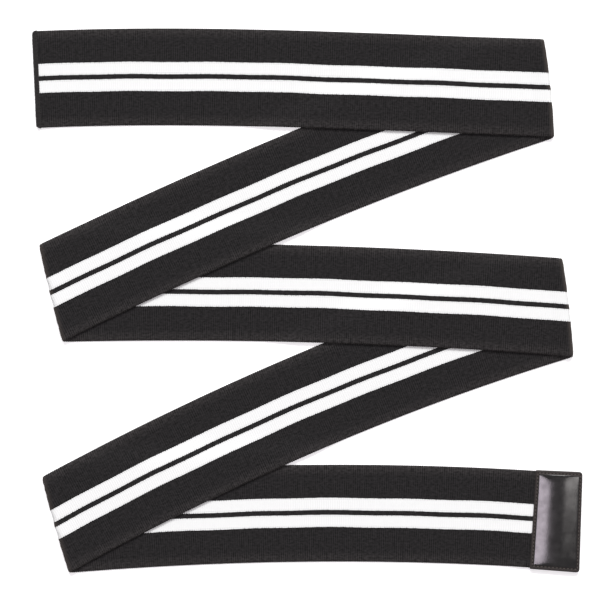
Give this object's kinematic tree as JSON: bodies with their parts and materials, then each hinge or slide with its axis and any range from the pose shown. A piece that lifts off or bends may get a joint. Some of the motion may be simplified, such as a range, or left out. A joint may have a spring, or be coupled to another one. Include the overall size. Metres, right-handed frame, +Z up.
{
  "type": "knee wrap",
  "caption": "Elastic knee wrap laid out in a flat zigzag: a black woven band with white stripes, an overlocked end and a leather-look end tab.",
  "frame": {"origin": "on the surface it lies on, under the middle of the zigzag's footprint", "axes": "+Z up from the surface, +X along the first run from the plain end towards its first fold, +Y towards that run"},
  "size_m": [0.4345, 0.4288, 0.0058],
  "materials": {
    "woven_elastic": "matt ribbed weave, black with two white stripes",
    "overlock_thread": "matt sewing thread",
    "pu_leather": "soft gloss, fine grain"
  },
  "bodies": {
    "root": {"band": "woven_elastic", "end_binding": "overlock_thread", "end_tab": "pu_leather"}
  },
  "joints": []
}
